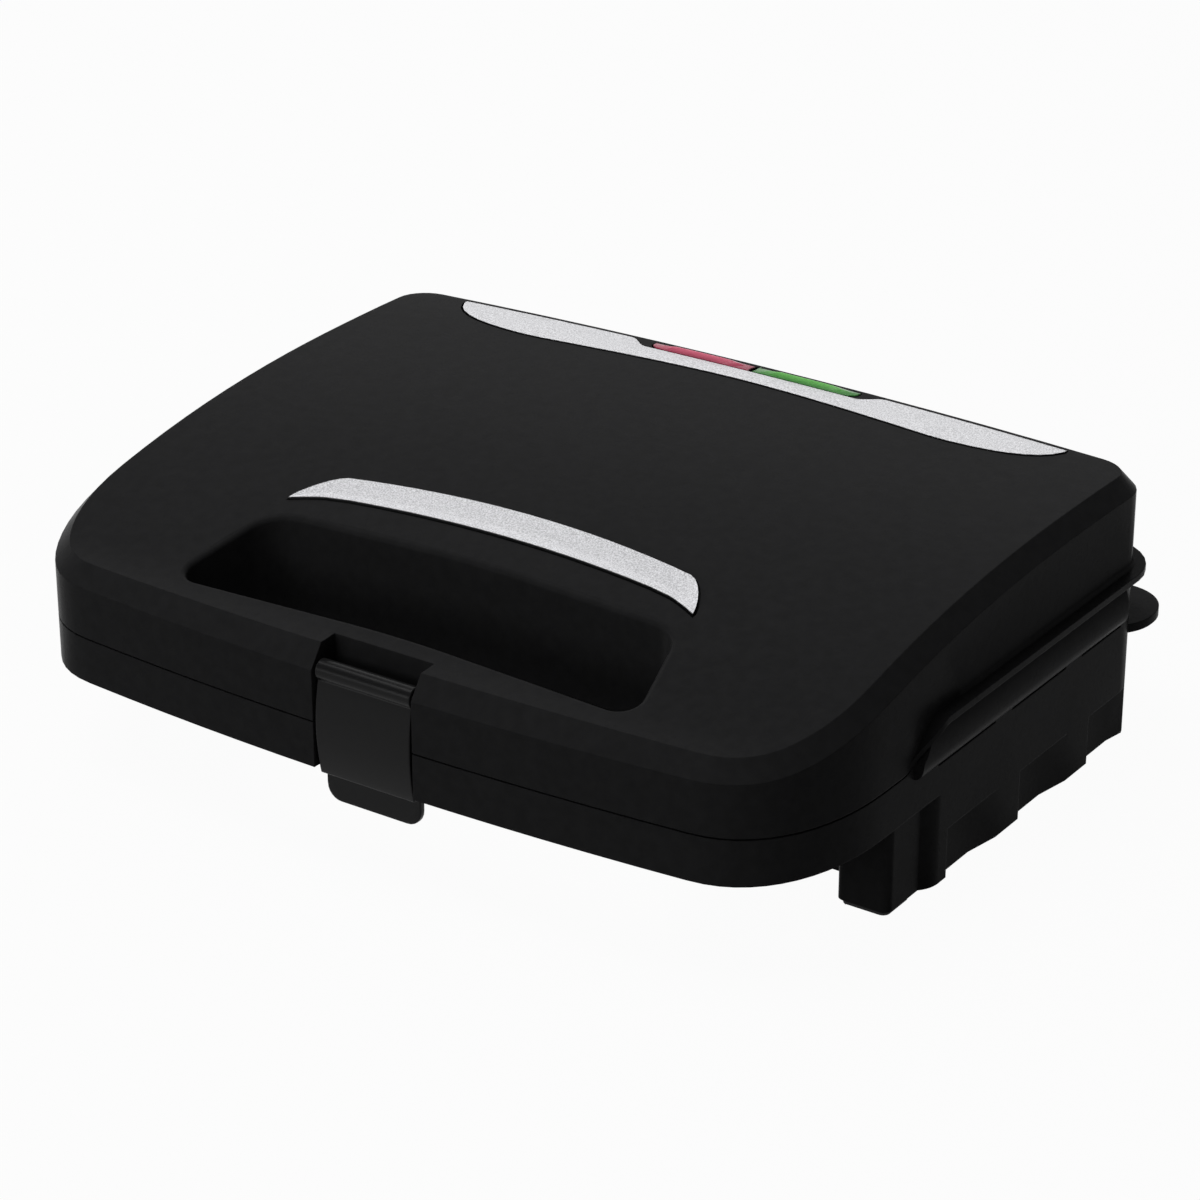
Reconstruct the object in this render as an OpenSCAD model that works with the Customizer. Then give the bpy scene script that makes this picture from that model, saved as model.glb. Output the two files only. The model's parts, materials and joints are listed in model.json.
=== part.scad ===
// Sandwich toaster with a hinged lid, a grip that passes through both halves and a front latch clip.
// Lengths are in millimetres. Inside the modules x runs across, y runs back from the front edge and
// z runs up from the plane where the two grip halves meet; stand() moves that frame to the table.

/* [Housing plan] */
// Half of the width over the skirts
half_w = 128.5; // [122:0.5:136]
// Depth from the front edge to the rear skirt
lid_depth = 199; // [190:0.5:210]
// How far the front edge falls back at the sides
front_bow = 7.7; // [0:0.1:12]
// How far the rear edge comes forward at the sides
rear_bow = 3.5; // [0:0.1:8]
// Front corner, reach across
corner_rx = 30; // [20:0.5:38]
// Front corner, reach back
corner_ry = 47; // [30:0.5:56]
// Fullness of the front corner, 2 is an ellipse
corner_pow = 2.3; // [2:0.05:3]
// Radius of the rear corners
rear_r = 14; // [8:0.5:20]

/* [Lid] */
// Height of the grip bar over the parting plane
nose_h = 19.4; // [16:0.1:22]
// Rise from the grip bar to the highest edge line
hood_rise = 20; // [15:0.1:26]
// Where the rise starts, from the front
rise_y = 14; // [10:0.5:20]
// Where the lid is highest, from the front
peak_y = 160; // [140:1:175]
// How fast the rise eases out
rise_pow = 2.35; // [1.6:0.05:3]
// Height of the crown across the lid
crown = 1.7; // [0:0.1:3]
// Bevel round the top
bevel = 4.6; // [2:0.1:7]
// Thickness of the top over the inner space
top_wall = 3; // [2:0.1:4]
// Width of the flange along the sides and the rear
flange_w = 4; // [2:0.1:6]
// Thickness of the flange
flange_t = 2; // [1.2:0.1:3]
// Fillet where the skirt meets the flange
flange_fillet = 3; // [1:0.1:4]

/* [Lower housing] */
// Depth of the lower grip half under the parting plane
grip_drop = 13.5; // [10:0.1:16]
// Depth of the body under the parting plane
body_drop = 40.4; // [34:0.1:46]
// Front wall of the deep body, from the front
body_y = 72; // [68:0.5:78]
// Radius of the body's front corners
body_r = 9; // [4:0.5:14]
// Height of the seam between the bodies over the parting plane
seam_h = 10; // [7:0.1:13]
// Where the parting line starts to rise, from the front
step_y = 61; // [56:0.5:64]
// Length of the rise of the parting line
step_len = 16; // [10:0.5:20]
// Gap between the two halves
part_gap = 0.5; // [0.3:0.05:1]
// Wall of the deep body
wall = 2.5; // [2:0.1:3.5]
// Ledge inside the wall that carries the plate
plate_ledge = 2.5; // [1.5:0.1:4]
// How far the shoulder bead stands out of the wall
bead_out = 2.8; // [1:0.1:3.4]
// Lower edge of the shoulder bead under the parting plane
bead_drop = 3; // [1:0.1:5]
// Height of the slots under the bead
slot_h = 1.4; // [0.8:0.1:2.5]
// Depth of the slots under the bead
slot_depth = 1.6; // [0.8:0.1:2]
// Depth of the scooped bays in the side wall
bay_depth = 2; // [1:0.1:2]
// Height of the scooped bays
bay_h = 14.7; // [8:0.1:20]
// Spacing of the slots and the bays along the side
bay_pitch = 39.5; // [36:0.5:42]
// How far the stand at the rear reaches past the lid
stand_reach = 13; // [10:0.5:16]
// Thickness of the stand's shelf
stand_t = 2.6; // [2:0.1:4]
// Depth of the shelf's top under the parting plane
stand_drop = 7; // [6:0.1:12]
// How far the shelf stands out at each side
stand_side = 1.5; // [0.5:0.1:3]
// Half width of each block under the shelf
stand_block_half = 18; // [12:0.5:22]
// Height of the blocks under the shelf
stand_block_h = 22; // [14:0.5:26]

/* [Grip opening] */
// Half width of the opening at its front
grip_front = 75.5; // [64:0.5:80]
// Half width of the opening at its rear
grip_rear = 67; // [56:0.5:74]
// Front edge of the opening, from the front
grip_y = 14.6; // [13:0.1:18]
// Length of the opening, front to rear
grip_len = 34; // [24:0.5:36]
// How far the opening's front and rear edges bow back in the middle
grip_bow = 3; // [0:0.1:4]
// Radius of the opening's front corners
grip_front_r = 6; // [3:0.5:7]
// Radius of the opening's rear corners
grip_rear_r = 11; // [6:0.5:12]
// Radius of the rolled rim round the opening
grip_lip = 1.6; // [0.5:0.1:2]

/* [Trims and lenses] */
// Half length of the trim behind the grip
grip_trim_half = 67; // [60:0.5:72]
// Width of the grip trim at its middle
grip_trim_w = 12; // [9:0.5:13]
// Front edge of the grip trim at its middle, from the front
grip_trim_y = 63.7; // [60:0.1:66]
// How far the grip trim's front edge falls forward at its ends
grip_trim_bow = 5.7; // [3:0.1:7]
// Length of each rounded end of the grip trim
grip_trim_nose = 10; // [6:0.5:14]
// Where the grip trim's ridge lies across it, 0 is its front edge
grip_trim_ridge = 0.36; // [0.2:0.02:0.7]
// Half length of the rear trim
rear_trim_half = 104; // [96:0.5:108]
// Width of the rear trim at its middle
rear_trim_w = 12; // [11:0.1:14]
// How much wider the rear trim is near its ends
rear_trim_swell = 4.7; // [2:0.1:6]
// Margin between the rear trim and the top's edge
rear_trim_margin = 1.8; // [0.5:0.1:2.5]
// How far the trims stand over the lid
trim_proud = 0.5; // [0.2:0.1:1]
// Height of the trims' ridges over their edges
trim_ridge = 0.5; // [0.2:0.1:1]
// Depth of a trim in the lid
trim_deep = 1.4; // [1:0.1:2]
// Gap round a trim
trim_gap = 0.3; // [0.1:0.05:0.5]
// Length of each lens
lens_len = 35; // [28:0.5:37]
// Width of the lenses
lens_w = 4.4; // [3:0.1:5]
// Height of the lenses' ridges over their edges
lens_ridge = 0.9; // [0.4:0.1:1.2]
// Radius of the lamps
lamp_r = 2; // [1.5:0.1:2.2]
// Length of the lamps
lamp_len = 13; // [10:0.5:18]

/* [Latch] */
// Width of the clip
clip_w = 31; // [24:0.5:36]
// Play on each side of the clip
clip_play = 0.8; // [0.4:0.1:1.2]
// Thickness of the clip's plate
clip_t = 2.4; // [1.8:0.1:3]
// How far the clip's plate bulges in its middle
clip_bulge = 1.7; // [0.5:0.1:2]
// Radius of the clip's knuckle
knuckle_r = 3; // [2.6:0.1:3.2]
// Radius of the latch pin
latch_pin_r = 1.2; // [1:0.05:1.4]
// Height of the latch pin over the parting plane
latch_pin_z = 14.6; // [14:0.1:15.4]
// How far the latch pin lies behind the front edge
latch_pin_y = 3.4; // [3:0.1:4]
// Length of the pocket in the lid that the knuckle turns in
latch_pocket = 10.4; // [8:0.1:11]
// Depth of the recess that the clip lies in
clip_seat = 4.6; // [4.2:0.1:5]
// Radius of the tab's corners
tab_r = 4.5; // [2:0.5:6]
// Length of the finger tab under the grip
tab_len = 8.8; // [6:0.1:10]
// Clearance between the clip's barb and the grip
barb_gap = 0.5; // [0.4:0.05:0.8]
// Thickness of the barb
barb_t = 1.4; // [1.2:0.1:2]
// How far the barb reaches under the grip, past the clip's recess
barb_reach = 2; // [1.5:0.1:3]
// How far the finger tab is set back from the grip's front
tab_set = 2.6; // [1:0.1:3]

/* [Hinge] */
// Height of the hinge axis over the parting plane
hinge_z = 4; // [3:0.1:5]
// How far the hinge axis lies behind the lid
hinge_back = 5; // [4.6:0.1:6]
// Radius of the hinge barrels
barrel_r = 4.5; // [4:0.1:4.8]
// Radius of the hinge pins
hinge_pin_r = 1.75; // [1.5:0.05:2]
// Half distance between the two hinges
hinge_half = 84; // [70:1:95]
// Width of the lid's lug in each hinge
lug_w = 12; // [8:0.5:16]
// Width of each of the two lugs beside it
ear_w = 6; // [4:0.5:8]
// Side play between neighbouring lugs
lug_play = 0.5; // [0.4:0.05:0.8]

/* [Plates] */
// Thickness of the plates at their rims and pockets
plate_t = 3; // [2.5:0.1:3.5]
// Corner radius of the plates' rims and of their seats
plate_r = 6; // [4:0.5:8]
// Side of each bread pocket
pocket_size = 104; // [96:0.5:106]
// Radius of the pockets' square corners
pocket_r = 9; // [6:0.5:12]
// Distance between the two pockets' centres
pocket_pitch = 117; // [112:0.5:119]
// Depth of the lower pockets
lower_pocket = 13; // [10:0.5:14]
// Depth of the upper pockets
upper_pocket = 9; // [7:0.5:10]
// How far the pocket walls lean in
pocket_draft = 7; // [4:0.5:9]
// Wall of the pans round the pockets
pan_wall = 2; // [1.5:0.1:3]
// Width of the ridge that cuts a sandwich in two
ridge_w = 5; // [3:0.5:8]
// Gap between a plate and the wall round it
plate_gap = 0.4; // [0.3:0.05:0.8]

/* [Heating] */
// Radius of the heating tube
tube_r = 3.3; // [3:0.1:3.6]
// Half width of the heating loop
loop_half = 78; // [60:1:90]
// Distance between the loop's two runs
loop_span = 56; // [44:1:64]
// Radius of the terminal rods at the loop's cold ends
rod_r = 1.4; // [1:0.1:1.8]
// Thickness of the reflectors
reflector_t = 0.8; // [0.5:0.1:1.2]
// Height of the reflectors' rims
reflector_rim = 3; // [2:0.5:5]
// Radius of the thermostat's flange
thermostat_r = 9.5; // [8:0.5:11]
// Height of the thermostat
thermostat_h = 6; // [5:0.1:6.4]
// Radius of the fuse's sleeve
fuse_r = 2.2; // [1.6:0.1:2.6]
// Length of the fuse's sleeve
fuse_len = 28; // [20:1:36]

/* [Base] */
// Thickness of the bottom cover
cover_t = 2.4; // [2:0.1:3]
// Gap round the bottom cover
cover_gap = 0.4; // [0.2:0.05:0.6]
// Height of the feet under the body
foot_h = 1.6; // [1:0.1:3]
// Size of each front leg, across
leg_w = 16; // [12:0.5:20]
// How far each front leg reaches in front of the body
leg_reach = 13; // [8:0.5:16]
// Number of vents in the bottom cover
vents = 13; // [7:2:15]
// Spacing of the vents
vent_pitch = 9; // [7:0.5:10]
// Width of the vents
vent_w = 3; // [2:0.1:4]
// Length of the vents
vent_len = 44; // [30:1:56]
// Radius of the rear feet
rear_foot_r = 7; // [5:0.5:9]
// Height of the cord's hole under the parting plane
cord_drop = 24; // [20:0.5:28]
// Radius of the cord's hole in the rear wall
cord_hole_r = 4.5; // [3.5:0.1:5.5]
// Width of the terminal block
block_w = 32; // [24:1:40]
// Depth of the terminal block
block_d = 12; // [10:0.5:14]
// Height of the terminal block
block_h = 10; // [8:0.5:12]

/* [Fasteners] */
// Radius of the screws' shanks
screw_r = 1.5; // [1.2:0.05:1.8]
// Radius of the screws' heads
screw_head_r = 3; // [2.6:0.1:3.4]
// Height of the screws' heads
screw_head_h = 1.6; // [1.2:0.1:2]
// Length of the cover's screws under their heads
cover_screw_len = 11; // [9:0.5:12]
// Length of the plates' screws under their heads
plate_screw_len = 9; // [7:0.5:9]
// Span of the cross recess in the screws' heads
cross_span = 3.4; // [2.6:0.1:4]
// Width of the cross recess in the screws' heads
cross_w = 0.7; // [0.5:0.1:1]
// Radius of the bosses that the screws bite into
boss_r = 4; // [3.5:0.1:5]

/* [Hidden] */
$fn = 32;

hair = 0.01;
far = 400;
half_gap = part_gap / 2;

// Places that several pieces share
step_end = step_y + step_len;
rear_out = lid_depth + stand_reach;
body_rear = lid_depth - 2.5;
hinge_y = lid_depth + hinge_back;
floor_z = -body_drop - foot_h;
plate_front = body_y + wall;
plate_rear = body_rear - wall;
plate_half = half_w - wall;
plate_mid = (plate_front + plate_rear) / 2;
rest_z = seam_h - half_gap - plate_t;
roof_z = seam_h + half_gap + plate_t;
pan_low = seam_h - half_gap - lower_pocket - plate_t;
pan_high = seam_h + half_gap + upper_pocket + plate_t;
reflector_low = pan_low - 2 * tube_r - 2;
reflector_high = pan_high + 2 * tube_r + 1.2;
cavity_half = half_w - 8;
cavity_front = plate_front + 4;
cavity_rear = plate_rear - 3;
tray_inset = 4;
cover_inset = 0.5;
cover_z = -body_drop + 0.6;
leg_x = half_w - 2.6 - leg_w;
leg_y = body_y - leg_reach;
leg_r = 2.5;
rear_foot_at = [plate_half - 30, plate_rear - 13];

// Screws: the heads of the cover's screws sink into the cover, and the bosses are deeper than the shanks
head_sink = 0.6;
screw_ease = 0.2;
cover_seat_z = cover_z + screw_head_h - head_sink;
boss_h = cover_screw_len + 3;
cover_screw_at = [for (x = [-1, 1], y = [plate_front + 12, plate_rear - 12]) [x * (plate_half - 13), y]];
plate_screw_at = [for (y = [-1, 1]) [0, plate_mid + y * (pocket_size / 2 - 8)]];

// Lenses, their notch in the rear trim, and the lamps below them
lens_gap = 0.3;
lens_split = 0.6;
notch_half = lens_len + lens_split + 0.5;
notch_ramp = 8;
lamp_pocket = lens_len + 1;
lamp_floor = 30;
lamp_depth = 4.4;
lamp_wall = 0.4;
lamp_z = lamp_floor + 1.6 * lamp_r;
lamp_mid = lens_len / 2;

// Latch
clip_half = clip_w / 2 + clip_play;
latch_pin_half = clip_w / 2 + 4;
pin_slip = 0.04;

// Counts of stations along each stretch of the lid's outline
n_front = 7;
n_corner = 13;
n_side = 14;
n_rear = 7;
n_back = 6;
n_half = n_front + n_corner + n_side + n_rear + n_back + 1;
n_ring = 2 * n_half - 2;
n_across = 12;

function lerp(a, b, t) = a + (b - a) * t;
function ease(t) = t <= 0 ? 0 : t >= 1 ? 1 : (1 - cos(180 * t)) / 2;

// Height of the top at its edge line for a distance from the front, and with the crown across it
function soft(u) = (u + sqrt(u * u + 60)) / 2;
function edge_top(y) =
    nose_h + hood_rise * (1 - pow(abs(1 - soft(y - rise_y) / (peak_y - rise_y)), rise_pow));
function top_z(x, y) = edge_top(y) + crown * (1 - pow(x / half_w, 2));

// Right half of the outline, from the middle of the front to the middle of the rear, drawn in by d
function bowed(p) =
    [p.x, p.y + pow(p.x / half_w, 2) * lerp(front_bow, -rear_bow, p.y / lid_depth)];
function half_line(d) = [for (p = concat(
    [for (i = [0 : n_front - 1]) [(half_w - corner_rx) * i / n_front, d]],
    [for (i = [0 : n_corner - 1]) let (a = 90 * i / n_corner)
        [half_w - corner_rx + (corner_rx - d) * pow(sin(a), 2 / corner_pow),
         corner_ry - (corner_ry - d) * pow(cos(a), 2 / corner_pow)]],
    [for (i = [0 : n_side - 1]) [half_w - d, lerp(corner_ry, lid_depth - rear_r, i / n_side)]],
    [for (i = [0 : n_rear - 1]) let (a = 90 * i / n_rear)
        [half_w - rear_r + (rear_r - d) * cos(a), lid_depth - rear_r + (rear_r - d) * sin(a)]],
    [for (i = [n_back : -1 : 0]) [(half_w - rear_r) * i / n_back, lid_depth - d]])) bowed(p)];
function ring_of(half) = concat(half, [for (i = [n_half - 2 : -1 : 1])
    [for (k = [0 : len(half[i]) - 1]) k == 0 ? -half[i][k] : half[i][k]]]);

// Side view of the parting line, raised by dz
function step_line(dz) = [for (i = [0 : 12])
    [step_y + step_len * i / 12, seam_h * ease(i / 12) + dz]];

// A polygon with rounded corners, its edges moved out by d
function turn(a, b) = let (t = b - a) t > 180 ? t - 360 : t < -180 ? t + 360 : t;
function heading(a, b) = atan2(b.y - a.y, b.x - a.x);
function rounded_corner(a, b, c, r, d, n) =
    let (h0 = heading(a, b), h1 = heading(b, c), half = turn(h0, h1) / 2,
         n0 = h0 - 90, signed = r * sign(half),
         centre = b - [cos(n0 + half), sin(n0 + half)] * signed / cos(half))
    [for (i = [0 : n]) let (q = n0 + 2 * half * i / n) centre + (signed + d) * [cos(q), sin(q)]];
function rounded(points, radii, d, n) = [for (i = [0 : len(points) - 1]) each rounded_corner(
    points[(i + len(points) - 1) % len(points)], points[i], points[(i + 1) % len(points)],
    radii[i], d, n)];

// Moves the working frame to the table: x and y centred, z from the feet
module stand() {
    translate([0, -rear_out / 2, -floor_z]) children();
}

// Copies a piece on both sides of the middle plane
module both() {
    children();
    mirror([1, 0, 0]) children();
}

// Runs a side view, drawn in y and z, across from x0 to x1
module across(x0, x1) {
    translate([x0, 0, 0]) rotate([90, 0, 90]) linear_extrude(x1 - x0) children();
}

// A round bar across, from x0 to x1, about the line at y and z
module bar(x0, x1, y, z, r) {
    translate([x0, y, z]) rotate([0, 90, 0]) cylinder(h = x1 - x0, r = r);
}

// A block with upright rounded corners, made of true arcs
module rounded_block(x0, x1, y0, y1, z0, z1, r) {
    translate([0, 0, z0]) linear_extrude(z1 - z0) union() {
        translate([x0 + r, y0]) square([x1 - x0 - 2 * r, y1 - y0]);
        translate([x0, y0 + r]) square([x1 - x0, y1 - y0 - 2 * r]);
        for (x = [x0 + r, x1 - r], y = [y0 + r, y1 - r]) translate([x, y]) circle(r);
    }
}

// Body between stacked rings of equal count: a flat floor, and a roof that follows the crowned top
module crowned_loft(rings, roof_drop) {
    last = len(rings) - 1;
    base = last * n_ring;
    extra = len(rings) * n_ring;
    roof = rings[last];
    inner = [for (i = [1 : n_half - 2], k = [1 : n_across - 1])
        let (x = lerp(-roof[i].x, roof[i].x, k / n_across), y = roof[i].y)
        [x, y, top_z(x, y) - roof_drop]];
    wall_faces = [for (r = [0 : last - 1], i = [0 : n_ring - 1]) let (j = (i + 1) % n_ring)
        each [[r * n_ring + i, (r + 1) * n_ring + j, r * n_ring + j],
              [r * n_ring + i, (r + 1) * n_ring + i, (r + 1) * n_ring + j]]];
    floor_faces = [for (i = [0 : n_half - 2]) let (a = (n_ring - i) % n_ring, b = n_ring - i - 1)
        each (i == 0 ? [[0, 1, b]]
            : i == n_half - 2 ? [[i, i + 1, a]] : [[i, i + 1, b], [i, b, a]])];
    function at(i, k) = k == 0 ? base + (n_ring - i) % n_ring : k == n_across ? base + i
        : extra + (i - 1) * (n_across - 1) + k - 1;
    roof_faces = concat(
        [for (k = [0 : n_across - 1]) [base, at(1, k), at(1, k + 1)]],
        [for (i = [1 : n_half - 3], k = [0 : n_across - 1])
            each [[at(i, k), at(i + 1, k), at(i + 1, k + 1)], [at(i, k), at(i + 1, k + 1), at(i, k + 1)]]],
        [for (k = [0 : n_across - 1]) [at(n_half - 2, k), base + n_half - 1, at(n_half - 2, k + 1)]]);
    polyhedron(points = concat([for (ring = rings) each ring], inner),
        faces = concat(wall_faces, floor_faces, roof_faces), convexity = 4);
}

// Solid under the crowned top, lowered by drop, over a rectangle from the floor at z0
module under_top(x_half, y0, y1, z0, drop, n) {
    m = n + 1;
    top = [for (j = [0 : n], i = [0 : n])
        let (x = lerp(-x_half, x_half, i / n), y = lerp(y0, y1, j / n)) [x, y, top_z(x, y) - drop]];
    floor = [for (p = top) [p.x, p.y, z0]];
    edge = concat([for (i = [0 : n - 1]) i], [for (j = [0 : n - 1]) n + j * m],
        [for (i = [n : -1 : 1]) n * m + i], [for (j = [n : -1 : 1]) j * m]);
    count = m * m;
    polyhedron(points = concat(top, floor), faces = concat(
        [for (j = [0 : n - 1], i = [0 : n - 1]) let (a = j * m + i)
            each [[a, a + m, a + m + 1], [a, a + m + 1, a + 1]]],
        [for (j = [0 : n - 1], i = [0 : n - 1]) let (a = count + j * m + i)
            each [[a, a + m + 1, a + m], [a, a + 1, a + m + 1]]],
        [for (e = [0 : len(edge) - 1]) let (a = edge[e], b = edge[(e + 1) % len(edge)])
            each [[a, b, count + b], [a, count + b, count + a]]]), convexity = 4);
}

// Outline of the grip opening, moved out by d
function grip_line(d) = let (rear = grip_y + grip_len) rounded(
    [[-grip_front, grip_y], [0, grip_y + grip_bow], [grip_front, grip_y],
     [grip_rear, rear], [0, rear + grip_bow], [-grip_rear, rear]],
    [grip_front_r, far, grip_front_r, grip_rear_r, far, grip_rear_r], d, 8);

// Closed body through stacked rings of equal count, with flat ends
module loft(rings) {
    count = len(rings[0]);
    last = len(rings) - 1;
    polyhedron(points = [for (ring = rings) each ring], faces = concat(
        [[for (i = [0 : count - 1]) i]],
        [for (r = [0 : last - 1], i = [0 : count - 1]) let (j = (i + 1) % count)
            each [[r * count + i, (r + 1) * count + j, r * count + j],
                  [r * count + i, (r + 1) * count + i, (r + 1) * count + j]]],
        [[for (i = [count - 1 : -1 : 0]) last * count + i]]), convexity = 4);
}

// Cutter for the grip opening in the lid: straight walls that roll out into the sloping top
module grip_cutter() {
    steps = 4;
    loft(concat(
        [[for (p = grip_line(0)) [p.x, p.y, -2]]],
        [for (k = [0 : steps]) let (a = 90 * k / steps, drop = grip_lip * (1 - sin(a)) - hair)
            [for (p = grip_line(grip_lip * (1 - cos(a)))) [p.x, p.y, top_z(p.x, p.y) - drop]]],
        [[for (p = grip_line(grip_lip)) [p.x, p.y, top_z(p.x, p.y) + 12]]]));
}

// Strip that lies in the top along x: rows of front, ridge and rear points, proud of it and deep in it
module top_strip(rows, proud, ridge, deep) {
    points = [for (r = rows) let (x = r[0], f = r[1], b = r[2], m = lerp(f, b, r[3])) each [
        [x, f, top_z(x, f) - deep], [x, f, top_z(x, f) + proud], [x, m, top_z(x, m) + proud + ridge],
        [x, b, top_z(x, b) + proud], [x, b, top_z(x, b) - deep]]];
    n = len(rows) - 1;
    polyhedron(points = points, faces = concat(
        [[0, 4, 3, 2, 1]],
        [[for (k = [0 : 4]) n * 5 + k]],
        [for (i = [0 : n - 1], k = [0 : 4]) let (a = i * 5 + k, b = i * 5 + (k + 1) % 5)
            each [[a, b, b + 5], [a, b + 5, a + 5]]]), convexity = 6);
}

// Rows of the trim behind the grip, its edges moved out by d: two facets that meet in a ridge
grip_trim_at = concat([for (i = [0 : 8]) (grip_trim_half - grip_trim_nose) * i / 8],
    [for (i = [1 : 7]) grip_trim_half - grip_trim_nose * (1 - sin(90 * i / 7))]);
grip_trim_hook = 3;
grip_trim_taper = 2.1;
function grip_trim_front(x) = grip_trim_y - grip_trim_bow * pow(x / grip_trim_half, 2)
    - grip_trim_hook * pow(max(0, abs(x) / grip_trim_half - 0.8) / 0.2, 1.5);
function grip_trim_rear(x) = let (t = max(0, (abs(x) - grip_trim_half) / grip_trim_nose + 1))
    grip_trim_y + grip_trim_w - (grip_trim_bow + grip_trim_taper) * pow(x / grip_trim_half, 2)
        - grip_trim_w * (1 - pow(max(0, 1 - pow(t, 1.6)), 0.8));
function grip_trim_rows(d) = [for (x = concat([for (i = [15 : -1 : 1]) -grip_trim_at[i]], grip_trim_at))
    [x * (1 + d / grip_trim_half), grip_trim_front(x) - d,
     max(grip_trim_rear(x), grip_trim_front(x) + 0.6) + d, grip_trim_ridge]];

// Rows of the rear trim: wider near its ends, with a notch in its rear edge that takes the lenses
rear_trim_at = concat([for (i = [0 : 4]) (notch_half - 0.5) * i / 4],
    [for (i = [0 : 6]) notch_half + notch_ramp * i / 6],
    [for (i = [1 : 12]) lerp(notch_half + notch_ramp, rear_trim_half, sin(90 * i / 12))]);
function rear_line(x) = lid_depth - bevel - rear_trim_margin - rear_bow * pow(x / half_w, 2);
function notch(x) = ease((notch_half + notch_ramp - abs(x)) / notch_ramp);
function rear_trim_width(u) = (rear_trim_w + rear_trim_swell * pow(min(1, u / 0.68), 1.6))
    * pow(max(0, 1 - pow(u, 7)), 0.55);
function rear_trim_rows(d) = [for (x = concat(
        [for (i = [len(rear_trim_at) - 1 : -1 : 1]) -rear_trim_at[i]], rear_trim_at))
    [x * (1 + d / rear_trim_half),
     rear_line(x) - max(rear_trim_width(abs(x) / rear_trim_half), 1.2) - d,
     rear_line(x) + d - (lens_w + lens_gap) * notch(x), 0.5]];

// Rows of a lens from x0 to x1, its edges moved out by d and its outer end rounded
function lens_front(x) = lens_w * sqrt(1 - 0.8 * pow(max(0, (abs(x) - lens_split - lens_len + 4) / 4), 2));
function lens_rows(x0, x1, d) = [for (i = [0 : 12]) let (x = lerp(x0, x1, (1 - cos(15 * i)) / 2))
    [x + d * (i - 6) / 6, rear_line(x) - lens_front(x) - d, rear_line(x) + d, 0.5]];

// Screw with a cross recess in its head, the head's seat at the origin and its shank upwards
module screw(len) {
    difference() {
        translate([0, 0, -screw_head_h]) cylinder(h = screw_head_h, r = screw_head_r);
        for (a = [0, 90]) rotate([0, 0, a]) translate([-cross_span / 2, -cross_w / 2, -1.5 * screw_head_h])
            cube([cross_span, cross_w, screw_head_h]);
    }
    cylinder(h = len, r = screw_r);
}

// Lower grip half and deep body, closed by the cover below and the plate above
module body_side_view() {
    polygon(concat([[-5, -grip_drop], [-5, -half_gap]], step_line(-half_gap),
        [[body_rear, seam_h - half_gap], [body_rear, -body_drop], [body_y, -body_drop],
         [body_y, -grip_drop]]));
}

// Shoulder bead along one side, its section drawn across and up
module bead() {
    top = seam_h - half_gap - 0.4;
    widest = 1.5;
    rear = body_rear - rear_r - 3;
    front = step_y + 5;
    translate([half_w, rear, 0]) rotate([90, 0, 0])
        linear_extrude(rear - front) polygon(concat([[-1, top]],
            [for (i = [0 : 6]) let (a = 90 - 15 * i) [bead_out * cos(a), lerp(widest, top, sin(a))]],
            [for (i = [1 : 4]) [bead_out * cos(22 * i), lerp(widest, -bead_drop, sin(22 * i))]],
            [[-1, -bead_drop]]));
}

// Bays in the side wall that run out towards the rear, and the slots between them and the bead
module scoops() {
    first_bay = body_y + 13;
    bay_floor = 15.5;
    bay_end = 27;
    first_slot = body_y + 6.5;
    slot_len = bay_pitch - 9;
    last_slot_len = 23;
    for (i = [0 : 2]) translate([half_w, first_bay + i * bay_pitch, -body_drop - 1])
        linear_extrude(bay_h + 1)
            polygon([[1, 0], [-bay_depth, 0], [-bay_depth, bay_floor], [0, bay_end], [1, bay_end]]);
    for (i = [0 : 2]) translate([half_w - slot_depth, first_slot + i * bay_pitch, -bead_drop - slot_h])
        cube([slot_depth + 1, i < 2 ? slot_len : last_slot_len, slot_h]);
}

// Shelf that the toaster stands on when it is put away upright, with two blocks below it
module rear_stand() {
    rounded_block(-half_w - stand_side, half_w + stand_side, body_rear - rear_r, rear_out,
        -stand_drop - stand_t, -stand_drop, rear_r);
    both() rounded_block(hinge_half - stand_block_half, hinge_half + stand_block_half, body_rear - 1,
        rear_out, -stand_drop - stand_block_h, -stand_drop - stand_t + hair, 0.8);
}

// Pairs of lugs at the rear that hold the ends of the hinge pins
module ears() {
    foot = stand_drop + 1;
    both() for (s = [-1, 1]) {
        x0 = hinge_half + (s > 0 ? lug_w / 2 + lug_play : -lug_w / 2 - lug_play - ear_w);
        bar(x0, x0 + ear_w, hinge_y, hinge_z, barrel_r);
        translate([x0, body_rear - 1, -foot])
            cube([ear_w, hinge_y + barrel_r - body_rear - 0.5, hinge_z + foot]);
    }
}

// What the front of the deep body loses outside its legs, so that its corner is round
module body_corner() {
    translate([half_w - body_r, body_y, -body_drop - 1]) difference() {
        translate([0, -1, 0]) cube([body_r + 5, body_r + 1, body_drop - grip_drop + 1]);
        translate([0, body_r, -1]) cylinder(h = body_drop, r = body_r);
        translate([-5, -5, 0]) cube([5 + leg_x + leg_w - half_w + body_r, 20, body_drop]);
    }
}

// Boss that a cover screw bites into, with a rib to the nearer side wall
module cover_boss(side) {
    rib = plate_half - plate_ledge - abs(cover_screw_at[0].x) + 0.5;
    difference() {
        union() {
            cylinder(h = boss_h, r = boss_r);
            translate([side > 0 ? 0 : -rib, -1, 0]) cube([rib, 2, boss_h]);
        }
        translate([0, 0, -1]) cylinder(h = cover_screw_len + 1, r = screw_r);
    }
}

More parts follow.
